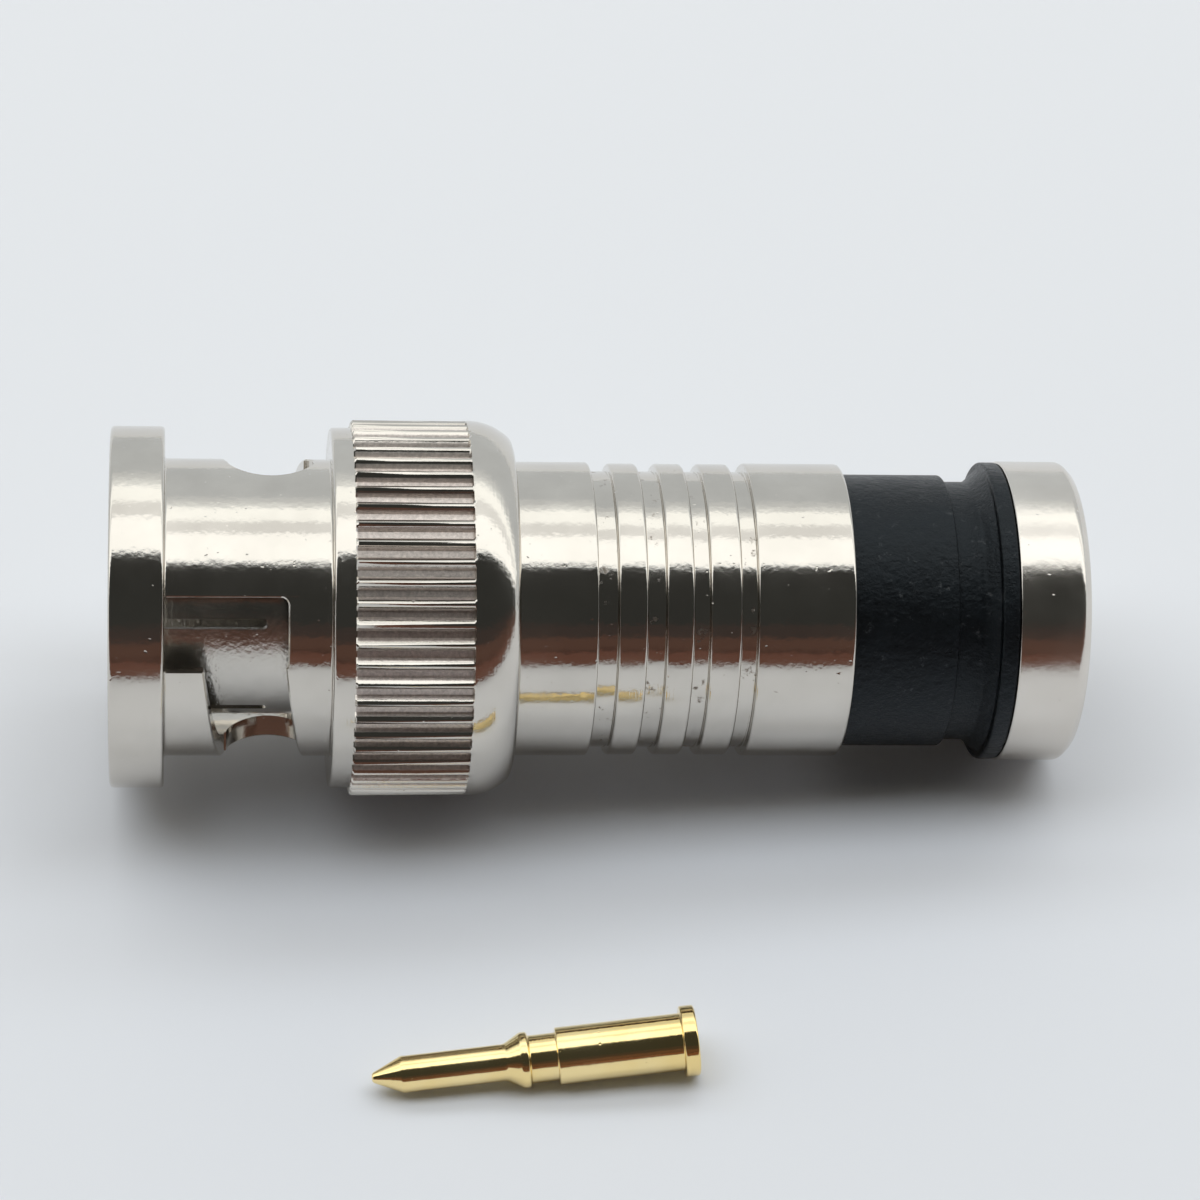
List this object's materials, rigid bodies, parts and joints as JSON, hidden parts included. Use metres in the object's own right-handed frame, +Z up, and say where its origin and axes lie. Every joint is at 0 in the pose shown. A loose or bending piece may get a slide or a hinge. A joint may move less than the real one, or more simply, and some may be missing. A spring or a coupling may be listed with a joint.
{
  "type": "bnc connector",
  "caption": "Male bayonet coaxial plug of the compression kind, lying on its side, with a knurled coupling nut, grooved barrel, plastic crimp sleeve and a loose centre pin.",
  "frame": {"origin": "on the ground, under the middle of the whole object's box", "axes": "+Z up, +X towards the cable end; the connector lies on its side, its axis 3.5 degrees down at the rear"},
  "size_m": [0.0376, 0.0258, 0.0149],
  "materials": {
    "nickel": "bright nickel plating on turned brass",
    "nickel_contact": "satin nickel plating on turned brass",
    "gasket": "moulded silicone rubber",
    "insulator": "turned white plastic",
    "spring_steel": "stamped spring steel",
    "black_plastic": "moulded, slightly satin",
    "gold": "gold plating on turned brass"
  },
  "bodies": {
    "root": {"barrel": "nickel", "outer_contact": "nickel_contact", "front_gasket": "gasket", "front_insulator": "insulator", "wave_washer": "spring_steel", "inner_post": "nickel_contact", "center_pin": "gold"},
    "nut_float": {"thrust_washer": "spring_steel"},
    "coupling_nut": {"coupling_nut": "nickel"},
    "compression_end": {"compression_sleeve": "black_plastic", "end_cap": "nickel"}
  },
  "joints": [
    {"name": "nut_float", "type": "slide", "parent": "root", "child": "nut_float", "axis": [-0.9981, 0, 0.0609], "range_m": [0, 0.0008], "stiffness_N_per_m": 6000, "springref_m": -0.0002, "deforming": ["wave_washer"]},
    {"name": "nut_turn", "type": "hinge", "parent": "nut_float", "child": "coupling_nut", "pos_m": [-0.0084, 0.00567, 0.00741], "axis": [-0.9981, 0, 0.0609], "continuous": true},
    {"name": "compression", "type": "slide", "parent": "root", "child": "compression_end", "axis": [-0.9981, 0, 0.0609], "range_m": [0, 0.0033]}
  ]
}
